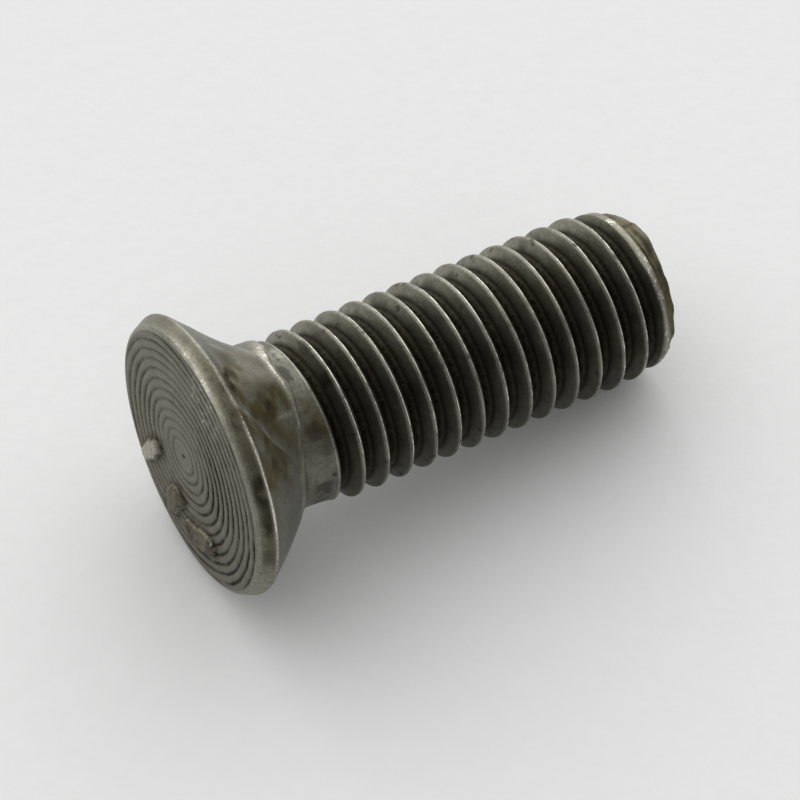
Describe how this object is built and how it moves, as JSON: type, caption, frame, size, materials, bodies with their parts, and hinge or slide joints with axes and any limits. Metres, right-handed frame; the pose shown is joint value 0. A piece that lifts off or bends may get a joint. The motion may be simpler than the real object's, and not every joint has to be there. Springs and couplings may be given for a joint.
{
  "type": "plough bolt",
  "caption": "Flat countersunk plough bolt with a short bulged square neck, plain collar and coarse right-hand thread, for clamping wearing parts flush.",
  "frame": {"origin": "centre of the flat head face, on which the bolt stands", "axes": "+Z along the bolt's axis from the head to the thread end; the sides of the square neck face X and Y"},
  "size_m": [0.0162, 0.016, 0.0282],
  "materials": {
    "steel": "raw oiled steel, satin, grey with dark olive patina and bright worn edges"
  },
  "bodies": {
    "root": {"plough_bolt": "steel"}
  },
  "joints": []
}
